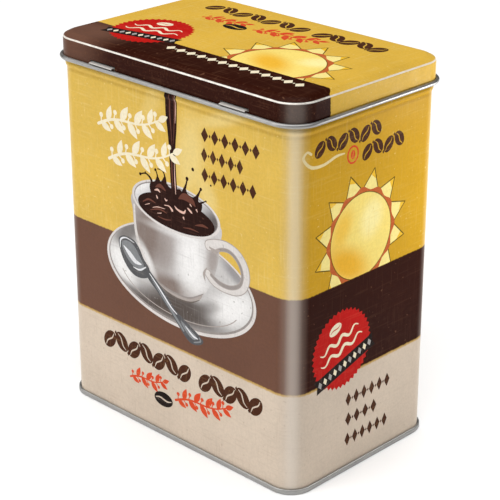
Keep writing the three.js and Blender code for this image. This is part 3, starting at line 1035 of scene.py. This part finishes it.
def wall_sheet():
    """Seam flange, straight side, stop bead, neck with two windows, and the mouth rolled inwards."""
    piece = Piece()
    side_run = FLAT_X + ARC + FLAT_Y
    windows = [rectangle(x - TONGUE_WIDTH / 2, x + TONGUE_WIDTH / 2, CURL_HEIGHT + TONGUE_LINE - TONGUE_FOLD,
                         CURL_HEIGHT + WINDOW_HEAD) for x in SLOT_PLACES]
    outline = [(run, WALL_FOOT) for run in WALL_COLUMNS + [RUN_START + AROUND]]
    outline += [(run, MOUTH) for run in [RUN_START + AROUND] + WALL_COLUMNS[::-1]]
    lines = [[(run, WALL_FOOT), (run, MOUTH)] for run in WALL_COLUMNS[1:]]
    for i in range(BEAD_ROWS + 1):
        row = BEAD_FOOT + BEAD_HEIGHT * i / BEAD_ROWS
        lines.append([(RUN_START, row), (RUN_START + AROUND, row)])
    art = front_art() + moved(front_art(), u=AROUND / 2)
    art += moved(side_art(), u=side_run) + moved(side_art(), u=AROUND - side_run)
    holes = [(window, None) for window in windows]
    neck = [(rectangle(RUN_START, RUN_START + AROUND, BEAD_TOP + GAP, MOUTH), "tinplate")]
    piece.flat_art([(outline, "wall_bands")] + art + neck + holes, wall_face(1), lines)
    piece.flat_art([(outline, "tinplate_inside")] + holes, wall_face(-1), lines)
    for window in windows:
        piece.hole_rim(window, wall_face(1), wall_face(-1), "tinplate")
    roll = arc_path((-ROLL_RADIUS, MOUTH), ROLL_RADIUS - HALF_SHEET, 0, 270, 14)
    right, left = skins(roll)
    piece.sweep(right, WALL_COLUMNS, "tinplate")
    piece.sweep(left, WALL_COLUMNS, "tinplate")
    piece.end_cap(roll[-1], WALL_COLUMNS, "tinplate", 1)
    flange = [Vector((0, WALL_FOOT)), Vector((FLANGE, WALL_FOOT)), Vector((FLANGE, FLANGE_HEIGHT)),
              Vector((-SHEET, FLANGE_HEIGHT)), Vector((-SHEET, WALL_FOOT))]
    faces_to = [Vector((0, 1)), Vector((1, 0)), Vector((0, -1)), Vector((-1, 0))]
    for a, b, normal in zip(flange, flange[1:], faces_to):
        piece.sweep([(a, normal), (b, normal)], WALL_COLUMNS, "tinplate")
    return piece.build("wall_sheet", "body", "printed_wall", "body_wall")


def hinge_tongue(place, name):
    """One of the two tongues bent out of the wall, through the lid's slot and over its curl."""
    piece = Piece()
    height = CURL_HEIGHT + TONGUE_LINE
    path = rounded_path([(-HALF_SHEET, height - TONGUE_FOLD), (-HALF_SHEET, height), (CURL_OFFSET, height)],
                        [TONGUE_FOLD])
    path += arc_path((CURL_OFFSET, CURL_HEIGHT), TONGUE_LINE, 90, 60, 5)[1:]
    right, left = skins(path)

    def at(x, point):
        return Vector((place + x, -HALF_DEPTH - point[0], point[1]))

    half = TONGUE_WIDTH / 2
    for strip in (right, left):
        for (a, a_normal), (b, b_normal) in zip(strip, strip[1:]):
            normals = [Vector((0, -n[0], n[1])) for n in (a_normal, a_normal, b_normal, b_normal)]
            piece.face([at(-half, a), at(half, a), at(half, b), at(-half, b)], normals, "tinplate_tongue")
    for side in (-1, 1):
        for (a, _), (b, _), (c, _), (d, _) in zip(right, right[1:], left[1:], left):
            corners = [at(side * half, p) for p in (a, b, c, d)]
            piece.face(corners, Vector((side, 0, 0)), "tinplate_tongue")
    for end, way in ((0, -1), (-1, 1)):
        a, b = right[end][0], left[end][0]
        direction = path[end][1] * way
        corners = [at(-half, a), at(half, a), at(half, b), at(-half, b)]
        piece.face(corners, Vector((0, -direction.x, direction.y)), "tinplate_tongue")
    return piece.build(name, "body", "bare_tinplate", "body_wall")


def bottom_end():
    """The seam ring under the wall, the chuck wall inside it, and the sunk floor with its stamped step."""
    piece = Piece()
    border = CHUCK_LINE - FLOOR_BORDER
    corners = [(GAP, SEAM_TOP), (SEAM_LINE, SEAM_TOP), (SEAM_LINE, HALF_SHEET), (CHUCK_LINE, HALF_SHEET),
               (CHUCK_LINE, FLOOR_LINE), (border, FLOOR_LINE), (border - FLOOR_STEP, FLOOR_LINE + FLOOR_STEP),
               (FLOOR_RING, FLOOR_LINE + FLOOR_STEP)]
    path = rounded_path(corners, [SEAM_ROUND] * 4 + [FLOOR_STEP] * 2)
    right, left = skins(path)
    piece.sweep(right, WALL_COLUMNS, "tinplate_inside")
    piece.sweep(left, WALL_COLUMNS, "tinplate")
    piece.end_cap(path[0], WALL_COLUMNS, "tinplate", -1)
    add_panel(piece, WALL_COLUMNS, FLOOR_RING, right[-1][0].y, 1, [], "tinplate_inside")
    add_panel(piece, WALL_COLUMNS, FLOOR_RING, left[-1][0].y, -1, [], "tinplate")
    return piece.build("bottom_end_seamed", "body", "bare_tinplate", "bottom_end")


def add_panel(piece, runs, offset, height, side, art, finish):
    """A level panel inside the swept rim, looking up or down."""
    outline = [around(run, (offset, height)).to_2d()[:] for run in runs]
    piece.flat_art([(outline, finish)] + art, lambda x, y: (Vector((x, y, height)), Vector((0, 0, side))))


def lid_sheet():
    """Curled rim, skirt with two slots, rounded top edge, sloping shoulder and raised panel."""
    piece = Piece()
    edge = LID_TOP - HALF_SHEET - SHOULDER_RISE
    heights = [CURL_HEIGHT + SLOT_FOOT, CURL_HEIGHT + SLOT_HEAD]
    skirt = [(SKIRT_LINE, CURL_HEIGHT), (SKIRT_LINE, heights[0]), (SKIRT_LINE, heights[1]),
             (SKIRT_LINE, edge),
             (SKIRT_LINE - SHOULDER_WIDTH, LID_TOP - HALF_SHEET), (LID_RING, LID_TOP - HALF_SHEET)]
    curl = arc_path((CURL_OFFSET, CURL_HEIGHT), CURL_RADIUS - HALF_SHEET, CURL_START, 180, CURL_STEPS)
    rest = rounded_path(skirt, [0, 0, EDGE_ROUND, PANEL_ROUND])

    def in_slot(run, height):
        beside = min(abs(run - place) for place in SLOT_PLACES)
        return beside < SLOT_WIDTH / 2 and heights[0] < height < heights[1]

    curl_right, curl_left = skins(curl)
    right, left = skins(rest)
    piece.sweep(curl_right, LID_COLUMNS, "tinplate")
    piece.sweep(curl_left, LID_COLUMNS, "tinplate")
    piece.end_cap(curl[0], LID_COLUMNS, "tinplate", -1)
    piece.sweep(right, LID_COLUMNS, "lid_bands", in_slot)
    piece.sweep(left, LID_COLUMNS, "tinplate_inside", in_slot)

    def skirt_face(offset):
        return lambda run, height: (around(run, (offset, height)), Vector())

    for place in SLOT_PLACES:
        slot = rectangle(place - SLOT_WIDTH / 2, place + SLOT_WIDTH / 2, *heights)
        piece.hole_rim(slot, skirt_face(SKIRT_LINE + HALF_SHEET), skirt_face(SKIRT_LINE - HALF_SHEET),
                       "tinplate")
    add_panel(piece, LID_COLUMNS, LID_RING, LID_TOP, 1, lid_art(), "lid_bands")
    add_panel(piece, LID_COLUMNS, LID_RING, LID_TOP - SHEET, -1, [], "tinplate_inside")
    return piece.build("lid_sheet", "lid", "printed_lid", "lid")


# ---- the studio
CAMERA_AZIMUTH = math.radians(44.3)
CAMERA_ELEVATION = math.radians(23.4)
CAMERA_DISTANCE = 0.8  # metres
CAMERA_ASIDE = 0.0022
CAMERA_TARGET_HEIGHT = 0.0855
CAMERA_LENS = 119
FLOOR_HALF = 4
WORLD_LIGHT = 0.06
FLOOR_WHITE = 0.95
SUN_STRENGTH = 3.1
SUN_SPREAD = math.radians(80)
SUN_LEAN = math.radians(8)
KEY_AZIMUTH = math.radians(-28)
KEY_ELEVATION = math.radians(28)
KEY_DISTANCE = 1.3  # metres, like the sizes and places of both softboxes
KEY_SIZE = 1.0
KEY_WATTS = 7
SIDE_PLACE = (0.16, 0.12, 0.15)
SIDE_AIM = (0.077, 0.035, 0.1)
SIDE_SIZE = 0.05
SIDE_WATTS = 0.14


def away(azimuth, elevation):
    """The direction from the tin towards a place, with azimuth 0 in front of it and 90 on its right."""
    level = math.cos(elevation)
    return Vector((math.sin(azimuth) * level, -math.cos(azimuth) * level, math.sin(elevation)))


def make_camera():
    data = bpy.data.cameras.new("camera")
    data.lens = CAMERA_LENS
    camera = bpy.data.objects.new("camera", data)
    right = Vector((math.cos(CAMERA_AZIMUTH), math.sin(CAMERA_AZIMUTH), 0))
    target = right * CAMERA_ASIDE + Vector((0, 0, CAMERA_TARGET_HEIGHT))
    camera.location = target + away(CAMERA_AZIMUTH, CAMERA_ELEVATION) * CAMERA_DISTANCE
    camera.rotation_euler = (math.pi / 2 - CAMERA_ELEVATION, 0, CAMERA_AZIMUTH)
    bpy.context.scene.collection.objects.link(camera)
    bpy.context.scene.camera = camera


def make_floor():
    mesh = bmesh.new()
    reach = FLOOR_HALF
    mesh.faces.new([mesh.verts.new((x * reach, y * reach, 0)) for x,
                    y in ((-1, -1), (1, -1), (1, 1), (-1, 1))])
    data = bpy.data.meshes.new("floor")
    mesh.to_mesh(data)
    mesh.free()
    paint = Paint("floor")
    paint.shader.inputs["Base Color"].default_value = (FLOOR_WHITE, FLOOR_WHITE, FLOOR_WHITE, 1)
    paint.shader.inputs["Roughness"].default_value = 0.9
    paint.shader.inputs["Specular IOR Level"].default_value = 0.1
    data.materials.append(paint.material)
    floor = bpy.data.objects.new("floor", data)
    bpy.context.scene.collection.objects.link(floor)


def soft_light(name, place, aim, size, watts):
    """A square softbox at a place in metres, looking at another, that the camera doesn't see."""
    data = bpy.data.lights.new(name, "AREA")
    data.shape = "SQUARE"
    data.size = size
    data.energy = watts
    light = bpy.data.objects.new(name, data)
    light.location = place
    light.rotation_euler = (Vector(place) - Vector(aim)).to_track_quat("Z", "Y").to_euler()
    light.visible_camera = False
    bpy.context.scene.collection.objects.link(light)


def overhead():
    """Even soft light from above."""
    data = bpy.data.lights.new("overhead", "SUN")
    data.energy = SUN_STRENGTH
    data.angle = SUN_SPREAD
    light = bpy.data.objects.new("overhead", data)
    light.rotation_euler = (SUN_LEAN, 0, 0)
    bpy.context.scene.collection.objects.link(light)


def make_world():
    """A white backdrop for the camera, which gives the tin only a little light."""
    world = bpy.data.worlds.new("studio")
    world.use_nodes = True
    tree = world.node_tree
    backdrop = tree.nodes["Background"]
    backdrop.inputs["Color"].default_value = (1, 1, 1, 1)
    strength = tree.nodes.new("ShaderNodeMath")
    strength.operation = "MAXIMUM"
    strength.inputs[1].default_value = WORLD_LIGHT
    tree.links.new(tree.nodes.new("ShaderNodeLightPath").outputs["Is Camera Ray"], strength.inputs[0])
    tree.links.new(strength.outputs[0], backdrop.inputs["Strength"])
    bpy.context.scene.world = world


def make_studio():
    make_camera()
    make_floor()
    make_world()
    middle = Vector((0, 0, CAMERA_TARGET_HEIGHT))
    overhead()
    key_place = middle + away(KEY_AZIMUTH, KEY_ELEVATION) * KEY_DISTANCE
    soft_light("key", key_place, middle, KEY_SIZE, KEY_WATTS)
    soft_light("side", Vector(SIDE_PLACE), Vector(SIDE_AIM), SIDE_SIZE, SIDE_WATTS)
    bpy.context.scene.view_settings.view_transform = "Standard"


make_studio()
make_materials()
wall_sheet()
hinge_tongue(SLOT_PLACES[0], "hinge_tongue_left")
hinge_tongue(SLOT_PLACES[1], "hinge_tongue_right")
bottom_end()
lid_sheet()
